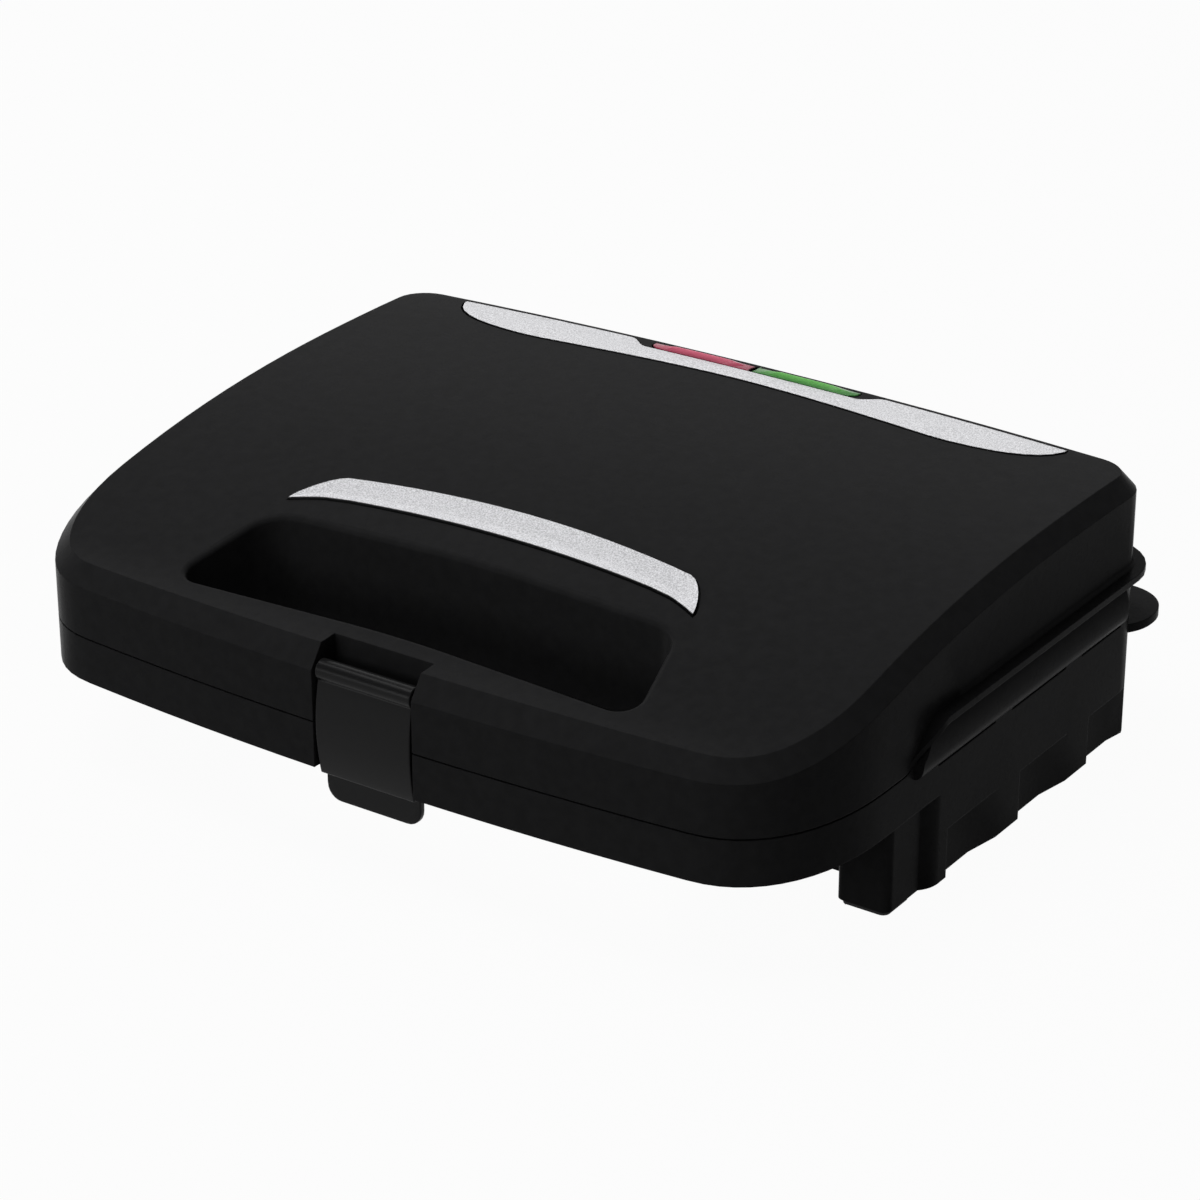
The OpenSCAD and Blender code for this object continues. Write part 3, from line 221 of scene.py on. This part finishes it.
def make_finishes():
    made = {}
    black = Finish("black_moulding", shade(0.0195), 0.3, Specular_IOR_Level=0.006)
    black.tint(black.noise(300, 3), shade(0.0178), shade(0.0212))
    black.rough(black.noise(240, 3), 0.26, 0.30)
    made["housing"] = black.soft_edges(0.4).grain((black.noise(2600, 2), 0.03, 0.2))

    clip = Finish("black_clip", shade(0.012), 0.24, Specular_IOR_Level=0.08)
    clip.rough(clip.noise(200, 3), 0.22, 0.27)
    made["clip_plastic"] = clip.grain((clip.noise(2600, 2), 0.04, 0.25))

    cover = Finish("black_cover", shade(0.01), 0.6, Specular_IOR_Level=0.3)
    cover.tint(cover.noise(60, 4), shade(0.008), shade(0.012))
    made["cover"] = cover.soft_edges(0.4).grain((cover.cells(1400), 0.12, 0.5))

    rubber = Finish("black_rubber", shade(0.01), 0.8, Specular_IOR_Level=0.3)
    rubber.tint(rubber.noise(220, 5), shade(0.008), shade(0.016))
    made["foot_rubber"] = made["gland_rubber"] = rubber.grain((rubber.noise(3000, 3), 0.1, 0.5))

    steel = Finish("zinc_steel", shade(0.5), 0.35, Metallic=1.0)
    steel.tint(steel.noise(400, 4), shade(0.38), shade(0.58))
    steel.rough(steel.noise(900, 3), 0.26, 0.42)
    made["screw_steel"] = steel.grain((steel.noise(1800, 2), 0.05, 0.3))

    drawn = Finish("drawn_steel", shade(0.55), 0.25, Metallic=1.0)
    streaks = drawn.noise(3000, 3, drawn.stretched((0.03, 1, 1)))
    drawn.rough(streaks, 0.18, 0.34)
    made["pin_steel"] = drawn.grain((streaks, 0.03, 0.3))

    coating = Finish("non_stick_coating", shade(0.03), 0.34)
    coating.tint(coating.noise(1600, 1), shade(0.022), shade(0.075), 0.55, 0.78)
    coating.rough(coating.noise(70, 5), 0.28, 0.44)
    made["plate_coating"] = coating.grain((coating.noise(1900, 3), 0.06, 0.4))

    element = Finish("heater_tube", (0.16, 0.14, 0.13), 0.5, Metallic=1.0)
    element.tint(element.noise(45, 4), (0.13, 0.10, 0.08), (0.30, 0.29, 0.30))
    made["element_steel"] = element.grain((element.noise(1500, 3), 0.06, 0.4))

    sheet = Finish("bright_sheet", shade(0.75), 0.25, Metallic=1.0)
    rolling = sheet.noise(1400, 3, sheet.stretched((0.02, 1, 1)))
    sheet.rough(rolling, 0.18, 0.32)
    made["reflector"] = sheet.grain((rolling, 0.04, 0.25))

    ceramic = Finish("glazed_ceramic", (0.74, 0.71, 0.64), 0.3)
    ceramic.tint(ceramic.noise(300, 4), (0.68, 0.65, 0.58), (0.78, 0.75, 0.69))
    made["block_ceramic"] = ceramic.grain((ceramic.noise(700, 3), 0.08, 0.3))

    silver = Finish("satin_silver", shade(0.7), 0.4, Metallic=0.3)
    silver.tint(silver.noise(2300, 1), shade(0.58), shade(0.95), 0.35, 0.65)
    silver.rough(silver.noise(2600, 2), 0.28, 0.44)
    # Near-black sides below the rim: painted shade of the gap round the trim.
    silver.flanks(shade(0.006))
    made["trim_silver"] = silver.grain((silver.noise(3400, 2), 0.05, 0.4))

    for slot, deep, lit in (
        ("lens_red", (0.30, 0.012, 0.05), (0.80, 0.16, 0.25)),
        ("lens_green", (0.015, 0.17, 0.015), (0.17, 0.58, 0.12)),
    ):
        lens = Finish(slot, lit, 0.26, Coat_Weight=0.12, Coat_Roughness=0.1, IOR=1.3)
        # The lens colour runs from deep at its rim and faded ends to lit at its crease: painted highlight
        # and painted shade of a domed lens.
        lens.tint(lens.height_over(lens.noise(300, 2), 0.12), deep, lit, 0.5, 0.98)
        # Near-black sides below the rim: painted shadow of the gap round the lens.
        lens.flanks(shade(0.004))
        made[slot] = lens.grain((lens.noise(900, 2), 0.03, 0.2))

    glass = Finish("lamp_glass", (0.9, 0.75, 0.62), 0.05, IOR=1.5, Transmission_Weight=0.7)
    made["lamp_glass"] = glass.grain((glass.noise(260, 2), 0.1, 0.3))

    holder = Finish("white_holder", (0.74, 0.73, 0.69), 0.5)
    holder.tint(holder.noise(200, 3), (0.70, 0.69, 0.64), (0.77, 0.76, 0.72))
    made["holder_plastic"] = holder.grain((holder.noise(2000, 2), 0.06, 0.3))
    return {slot: finish.material for slot, finish in made.items()}


FINISHES = make_finishes()
SLOT_OF = {row["node"]: row["material_slot"] for row in frame["record"]["subparts"]}
BODY_OF = {node: body for body, names in frame["record"]["behaviour"]["bodies"].items() for node in names}


def wear(piece, node):
    """Gives a piece the finish of the node it stands for."""
    piece.data.materials.clear()
    piece.data.materials.append(FINISHES[SLOT_OF[node]])


def merged(node):
    """A copy of a node's form with its doubles merged, as a new mesh."""
    mesh = nodes[node].data.copy()
    work = bmesh.new()
    work.from_mesh(mesh)
    bmesh.ops.remove_doubles(work, verts=work.verts, dist=DOUBLES)
    bmesh.ops.dissolve_degenerate(work, edges=work.edges, dist=DOUBLES)
    for face in work.faces:
        face.smooth = True
    work.to_mesh(mesh)
    work.free()
    if mesh.attributes.get("custom_normal"):
        mesh.attributes.remove(mesh.attributes["custom_normal"])
    return mesh


def settle(name, mesh, node):
    """Puts a made mesh in the place of a node, with the node's finish and body, and hides the node."""
    piece = bpy.data.objects.new(name, mesh)
    scene.collection.objects.link(piece)
    wear(piece, node)
    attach(piece, BODY_OF[node])
    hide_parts(node)
    return piece


def rounded(piece, width, segments, angle):
    """Rounds a piece's edges that are sharper than an angle, to a width in mm."""
    bevel = piece.modifiers.new("soft_edges", "BEVEL")
    bevel.width = width * MM
    bevel.segments = segments
    bevel.limit_method = "ANGLE"
    bevel.angle_limit = angle
    return bevel


def evenly_shaded(piece):
    piece.modifiers.new("even_shading", "WEIGHTED_NORMAL").keep_sharp = True


def moulding(name, node, edge=0):
    """A node's own form with even shading, and with its edges rounded where edge is given in mm."""
    mesh = merged(node)
    piece = settle(name, mesh, node)
    if edge:
        rounded(piece, edge, 2, math.radians(SHARP)).use_clamp_overlap = False
    else:
        mesh.set_sharp_from_angle(angle=math.radians(SHARP))
    evenly_shaded(piece)


class Rule:
    """A geometry node tree under construction, whose sizes are its named inputs."""

    def __init__(self, name, sizes):
        self.tree = bpy.data.node_groups.new(name, "GeometryNodeTree")
        self.sizes = sizes
        self.sockets = {}
        for size in sizes:
            entry = self.tree.interface.new_socket(size, in_out="INPUT", socket_type="NodeSocketFloat")
            self.sockets[size] = entry.identifier
        self.tree.interface.new_socket("Geometry", in_out="OUTPUT", socket_type="NodeSocketGeometry")
        self.entry = self.tree.nodes.new("NodeGroupInput")

    def add(self, kind, values=(), **settings):
        """A node, its inputs given by name as sockets or constants."""
        made = self.tree.nodes.new(kind)
        for setting, value in settings.items():
            setattr(made, setting, value)
        for name, value in dict(values).items():
            socket = made.inputs[name]
            if isinstance(value, bpy.types.NodeSocket):
                self.tree.links.new(value, socket)
            else:
                socket.default_value = value
        return made.outputs[0]

    def size(self, name):
        return self.entry.outputs[name]

    def calc(self, operation, a, b=0.0, c=0.0):
        return self.add("ShaderNodeMath", {0: a, 1: b, 2: c}, operation=operation)

    def at(self, x=0.0, y=0.0, z=0.0):
        return self.add("ShaderNodeCombineXYZ", {"X": x, "Y": y, "Z": z})

    def moved(self, geometry, place, turn=(0, 0, 0)):
        return self.add("GeometryNodeTransform", {
            "Geometry": geometry, "Translation": place, "Rotation": turn})

    def joined(self, *parts):
        joint = self.tree.nodes.new("GeometryNodeJoinGeometry")
        for part in parts:
            self.tree.links.new(part, joint.inputs[0])
        return joint.outputs[0]

    def line(self, start, end):
        return self.add("GeometryNodeCurvePrimitiveLine", {"Start": start, "End": end})

    def tube(self, curve, radius, around=20):
        ring = self.add("GeometryNodeCurvePrimitiveCircle", {"Resolution": around, "Radius": radius})
        return self.add("GeometryNodeCurveToMesh", {
            "Curve": curve, "Profile Curve": ring, "Fill Caps": True})

    def piece(self, name, node, geometry):
        """Runs the tree with its sizes and settles the plain mesh that it makes in a node's place."""
        real = self.add("GeometryNodeRealizeInstances", {"Geometry": geometry})
        finish = FINISHES[SLOT_OF[node]]
        dressed = self.add("GeometryNodeSetMaterial", {"Geometry": real, "Material": finish})
        outlet = self.tree.nodes.new("NodeGroupOutput")
        self.tree.links.new(dressed, outlet.inputs[0])
        holder = bpy.data.objects.new(name + "_rule", bpy.data.meshes.new(name))
        scene.collection.objects.link(holder)
        run = holder.modifiers.new("rule", "NODES")
        run.node_group = self.tree
        for size, value in self.sizes.items():
            run[self.sockets[size]] = value
        graph = bpy.context.evaluated_depsgraph_get()
        mesh = bpy.data.meshes.new_from_object(holder.evaluated_get(graph))
        bpy.data.objects.remove(holder)
        mesh.name = name
        mesh.polygons.foreach_set("use_smooth", [True] * len(mesh.polygons))
        mesh.set_sharp_from_angle(angle=math.radians(SHARP))
        settle(name, mesh, node)


def reach_of(node):
    """Lower and upper corner of a node's solid."""
    places = [vertex.co for vertex in nodes[node].data.vertices]
    return [Vector(pick(place[k] for place in places) for k in range(3)) for pick in (min, max)]


def screw_head(rule):
    """A head below its seat: a slug whose outer end falls off to a dome, with a cross recess."""
    head_r, head_h = rule.size("Head Radius"), rule.size("Head Height")
    slug = rule.add("GeometryNodeMeshCylinder", {
        "Vertices": 40, "Side Segments": 5, "Fill Segments": 8, "Radius": head_r, "Depth": head_h})
    slug = rule.moved(slug, rule.at(z=rule.calc("MULTIPLY", head_h, -0.5)))
    parts = rule.tree.nodes.new("ShaderNodeSeparateXYZ")
    rule.tree.links.new(rule.add("GeometryNodeInputPosition"), parts.inputs[0])
    x, y, z = parts.outputs
    out = rule.calc("ADD", rule.calc("MULTIPLY", x, x), rule.calc("MULTIPLY", y, y))
    out = rule.calc("DIVIDE", rule.calc("POWER", out, 1.5), rule.calc("POWER", head_r, 3))
    fall = rule.calc("MULTIPLY", rule.calc("MULTIPLY", z, out), -HEAD_DOME)
    head = rule.add("GeometryNodeSetPosition", {"Geometry": slug, "Offset": rule.at(z=fall)})
    deep = rule.calc("MULTIPLY", head_h, 2 * CROSS_DEPTH)
    bar = rule.add("GeometryNodeMeshCube", {
        "Size": rule.at(rule.size("Cross Span"), rule.size("Cross Width"), deep)})
    bar = rule.moved(bar, rule.at(z=rule.calc("MULTIPLY", head_h, -1)))
    cut = rule.tree.nodes.new("GeometryNodeMeshBoolean")
    cut.operation = "DIFFERENCE"
    rule.tree.links.new(head, cut.inputs["Mesh 1"])
    for tool in (bar, rule.moved(bar, (0, 0, 0), (0, 0, math.pi / 2))):
        rule.tree.links.new(tool, cut.inputs["Mesh 2"])
    return cut.outputs[0]


def screw_shank(rule):
    """The core of a shank over its seat, and the thread wound round it."""
    radius, length = rule.size("Shank Radius"), rule.size("Shank Length")
    core = rule.tube(rule.line((0, 0, 0), rule.at(z=length)), rule.calc("MULTIPLY", radius, CORE_SHARE))
    thread_r = rule.calc("MULTIPLY", radius, THREAD_SHARE)
    path_r = rule.calc("SUBTRACT", radius, thread_r)
    path = rule.add("GeometryNodeCurveSpiral", {
        "Resolution": 24, "Rotations": rule.calc("DIVIDE", length, rule.size("Pitch")),
        "Start Radius": path_r, "End Radius": path_r, "Height": rule.calc("MULTIPLY", length, THREADED)})
    return core, rule.tube(path, thread_r, 4)


def screw_set(name, node, head_down):
    """A body's like screws at the corners of a grid, whose sizes come from the node's solid."""
    low, high = reach_of(node)
    rule = Rule(name, {
        "Head Radius": SCREW_HEAD_R, "Head Height": SCREW_HEAD_H,
        "Cross Width": CROSS_W, "Cross Span": CROSS_SPAN,
        "Shank Radius": SCREW_R, "Shank Length": high.z - low.z - SCREW_HEAD_H, "Pitch": SCREW_PITCH,
        "Span X": high.x - low.x - 2 * SCREW_HEAD_R, "Span Y": high.y - low.y - 2 * SCREW_HEAD_R,
        "Middle Y": (low.y + high.y) / 2,
        "Seat": low.z + SCREW_HEAD_H if head_down else high.z - SCREW_HEAD_H,
        "Turn": 0 if head_down else math.pi})
    screw = rule.joined(screw_head(rule), *screw_shank(rule))
    spots = rule.add("GeometryNodeMeshGrid", {
        "Size X": rule.size("Span X"), "Size Y": rule.size("Span Y"), "Vertices X": 2, "Vertices Y": 2})
    spots = rule.add("GeometryNodeMergeByDistance", {"Geometry": spots, "Distance": SAME_SPOT})
    placed = rule.add("GeometryNodeInstanceOnPoints", {
        "Points": rule.moved(spots, rule.at(0, rule.size("Middle Y"), rule.size("Seat"))),
        "Instance": rule.moved(screw, (0, 0, 0), rule.at(rule.size("Turn")))})
    rule.piece(name, node, placed)


def heater(name, node):
    """A heating tube bent into a long loop, open at the rear, where its terminal rods come out."""
    low, high = reach_of(node)
    tube_r = (high.z - low.z) / 2
    span = high.y - low.y - 2 * tube_r
    rule = Rule(name, {
        "Half Length": high.x - span / 2 - tube_r, "Span": span, "Tube Radius": tube_r,
        "Cold End": COLD_END, "Rod End": ROD_END, "Rod Radius": ROD_R,
        "Middle Y": (low.y + high.y) / 2, "Height": (low.z + high.z) / 2})
    half, cold, rod = rule.size("Half Length"), rule.size("Cold End"), rule.size("Rod End")
    bend = rule.calc("MULTIPLY", rule.size("Span"), 0.5)
    front = rule.calc("MULTIPLY", bend, -1)
    runs = [rule.line(rule.at(rule.calc("MULTIPLY", half, -1), front), rule.at(half, front))]
    rods = []
    for side, start in ((1, -math.pi / 2), (-1, math.pi / 2)):
        arc = rule.add("GeometryNodeCurveArc", {
            "Resolution": 40, "Radius": bend, "Start Angle": start, "Sweep Angle": math.pi})
        runs.append(rule.moved(arc, rule.at(rule.calc("MULTIPLY", half, side))))
        ends = [rule.at(rule.calc("MULTIPLY", x, side), bend) for x in (cold, half, rod)]
        runs.append(rule.line(ends[0], ends[1]))
        rods.append(rule.line(ends[2], ends[0]))
    loop = rule.joined(rule.tube(rule.joined(*runs), rule.size("Tube Radius"), 28),
                       rule.tube(rule.joined(*rods), rule.size("Rod Radius"), 16))
    place = rule.at(0, rule.size("Middle Y"), rule.size("Height"))
    rule.piece(name, node, rule.moved(loop, place))


def edge_top(y):
    """Height of the lid's edge line, in mm, for a distance in mm from its front."""
    past = y - RISE_Y
    past = (past + math.sqrt(past * past + RISE_SOFTNESS)) / 2
    return NOSE_H + HOOD_RISE * (1 - abs(1 - past / (PEAK_Y - RISE_Y)) ** RISE_POW)


def crown_normal(x, y):
    """Normal of the crowned top at a place given in metres."""
    x, y = x / MM, y / MM + FRONT_TO_MIDDLE
    along = edge_top(y + 0.5) - edge_top(y - 0.5)
    return Vector((2 * CROWN * x / HALF_W ** 2, -along, 1)).normalized()


def over_top(place):
    """How far a place in the rest pose lies over the crowned top, in mm."""
    x, y = place.x / MM, place.y / MM + FRONT_TO_MIDDLE
    return place.z / MM + FLOOR_Z - edge_top(y) - CROWN * (1 - (x / HALF_W) ** 2)


def strip(name, node, rim, crease, inset, round_off):
    """A trim or a lens: rim and crease at new heights over the top, sides drawn in and edges rounded."""
    mesh = merged(node)
    level = mesh.attributes.new(HEIGHT, "FLOAT", "POINT")
    outward = [Vector((v.normal.x, v.normal.y, 0)) for v in mesh.vertices]
    left, right = (pick(v.co.x for v in mesh.vertices) for pick in (min, max))
    for vertex, way in zip(mesh.vertices, outward):
        height = over_top(vertex.co)
        if height > 0:
            up = (height - STRIP_RIM) / STRIP_RIDGE[node]
            from_end = ((right - left) / 2 - abs(vertex.co.x - (right + left) / 2)) / MM
            fade = min(1, from_end / STRIP_FADE)
            vertex.co.z += (rim + up * fade * (crease - rim) - height) * MM
            # This level carries the lenses' painted highlight and shade, darker towards their ends where the
            # crease fades, and sets where the painted shade below a rim starts.
            level.data[vertex.index].value = RIM_LEVEL * (1 + max(0, up * fade))
        if way.length > STRIP_SIDE:
            vertex.co -= way.normalized() * inset * MM
    mesh.set_sharp_from_angle(angle=STRIP_SHARP)
    piece = settle(name, mesh, node)
    rounded(piece, round_off, 4, STRIP_CORNER)
    evenly_shaded(piece)


def lid(name, node):
    """The lid's moulding, its top shaded as the smooth crowned surface that its facets follow."""
    mesh = merged(node)
    mesh.set_sharp_from_angle(angle=math.radians(LID_SHARP))
    wanted = [Vector(corner.vector) for corner in mesh.corner_normals]
    for face in mesh.polygons:
        if face.normal.z < TOP_UPWARD:
            continue
        for loop in face.loop_indices:
            place = mesh.vertices[mesh.loops[loop].vertex_index].co
            smooth = crown_normal(place.x, place.y)
            if place.z > TOP_FROM and face.normal.dot(smooth) > TOP_FIT:
                wanted[loop] = smooth
    mesh.normals_split_custom_set(wanted)
    settle(name, mesh, node)


lid("lid_moulding", "upper_housing")
moulding("lower_moulding", "lower_housing")
moulding("cover_moulding", "bottom_cover")
for node, (name, edge) in ROUNDED.items():
    moulding(name, node, edge)
screw_set("cover_screw_set", "cover_screws", True)
screw_set("lower_plate_screw_set", "lower_plate_screws", True)
screw_set("upper_plate_screw_set", "upper_plate_screws", False)
heater("lower_heater", "lower_element")
heater("upper_heater", "upper_element")
strip("grip_crescent", "grip_trim", 0.75, -0.2, 0.25, 0.3)
strip("rear_strip", "rear_trim", 0.3, 0.5, 0.25, 0.3)
strip("red_window", "red_lens", 0.2, 1.4, 0.15, 0.8)
strip("green_window", "green_lens", 0.2, 1.4, 0.15, 0.8)
for node, piece in nodes.items():
    if not piece.hide_render:
        wear(piece, node)


def camera():
    data = bpy.data.cameras.new("photo_camera")
    data.lens = EYE_LENS
    data.sensor_width = EYE_SENSOR
    data.clip_start = 0.05
    eye = bpy.data.objects.new("photo_camera", data)
    eye.location = EYE
    eye.rotation_euler = (math.radians(90 - EYE_DOWN), 0, math.radians(EYE_TURN))
    scene.collection.objects.link(eye)
    scene.camera = eye


def lamp(name, place, size, power):
    data = bpy.data.lights.new(name, "AREA")
    data.shape = "RECTANGLE"
    data.size, data.size_y = size
    data.energy = power
    card = bpy.data.objects.new(name, data)
    card.location = place
    card.rotation_euler = (Vector(LAMP_AIM) - Vector(place)).to_track_quat("-Z", "Y").to_euler()
    scene.collection.objects.link(card)


def seen_rays(tree, *kinds):
    """1 for the named kinds of rays, and 0 for all others."""
    path = tree.nodes.new("ShaderNodeLightPath")
    found = path.outputs[kinds[0]]
    for kind in kinds[1:]:
        either = tree.nodes.new("ShaderNodeMath")
        either.operation = "MAXIMUM"
        tree.links.new(found, either.inputs[0])
        tree.links.new(path.outputs[kind], either.inputs[1])
        found = either.outputs[0]
    return found


def studio_floor():
    """A plain pale floor that is nearly white to the camera and keeps the toaster's shadow."""
    mesh = bpy.data.meshes.new("floor")
    corners = [(x * FLOOR_REACH, y * FLOOR_REACH, 0) for x, y in ((-1, -1), (1, -1), (1, 1), (-1, 1))]
    mesh.from_pydata(corners, [], [(0, 1, 2, 3)])
    floor = bpy.data.objects.new("floor", mesh)
    scene.collection.objects.link(floor)
    paper = bpy.data.materials.new("floor_paper")
    paper.use_nodes = True
    tree = paper.node_tree
    shader = tree.nodes["Principled BSDF"]
    shader.inputs["Base Color"].default_value = (FLOOR_TONE, FLOOR_TONE, FLOOR_TONE, 1)
    shader.inputs["Roughness"].default_value = 0.9
    shader.inputs["Specular IOR Level"].default_value = 0.1
    glow = tree.nodes.new("ShaderNodeEmission")
    glow.inputs["Strength"].default_value = 1.0
    share = tree.nodes.new("ShaderNodeMath")
    share.operation = "MULTIPLY"
    share.inputs[1].default_value = FLOOR_GLOW
    mix = tree.nodes.new("ShaderNodeMixShader")
    seen = seen_rays(tree, "Is Camera Ray", "Is Glossy Ray", "Is Transmission Ray")
    tree.links.new(seen, share.inputs[0])
    tree.links.new(share.outputs[0], mix.inputs["Fac"])
    tree.links.new(shader.outputs[0], mix.inputs[1])
    tree.links.new(glow.outputs[0], mix.inputs[2])
    tree.links.new(mix.outputs[0], tree.nodes["Material Output"].inputs["Surface"])
    mesh.materials.append(paper)


def surround():
    """A white backdrop of limited height with a dark ceiling, all white to the camera."""
    world = bpy.data.worlds.new("surround")
    world.use_nodes = True
    tree = world.node_tree
    height = tree.nodes.new("ShaderNodeSeparateXYZ")
    tree.links.new(tree.nodes.new("ShaderNodeTexCoord").outputs["Generated"], height.inputs[0])
    band = tree.nodes.new("ShaderNodeValToRGB")
    steps = ((WALL_TOP, 1), (WALL_TOP + WALL_FADE, CEILING))
    for stop, (place, level) in zip(band.color_ramp.elements, steps):
        stop.position = place
        stop.color = (level, level, level, 1)
    tree.links.new(height.outputs["Z"], band.inputs["Fac"])
    lit = tree.nodes["Background"]
    lit.inputs["Strength"].default_value = AMBIENT
    mirrored = tree.nodes.new("ShaderNodeBackground")
    for layer in (lit, mirrored):
        tree.links.new(band.outputs["Color"], layer.inputs["Color"])
    white = tree.nodes.new("ShaderNodeBackground")
    white.inputs["Color"].default_value = (1, 1, 1, 1)
    last = lit
    mirror_rays = ("Is Glossy Ray", "Is Transmission Ray")
    for layer, kinds in ((mirrored, mirror_rays), (white, ("Is Camera Ray",))):
        mix = tree.nodes.new("ShaderNodeMixShader")
        tree.links.new(seen_rays(tree, *kinds), mix.inputs["Fac"])
        tree.links.new(last.outputs[0], mix.inputs[1])
        tree.links.new(layer.outputs[0], mix.inputs[2])
        last = mix
    tree.links.new(last.outputs[0], tree.nodes["World Output"].inputs["Surface"])
    scene.world = world


camera()
studio_floor()
surround()
for name, (place, size, power) in LAMPS.items():
    lamp(name, place, size, power)
scene.view_settings.view_transform = "Standard"
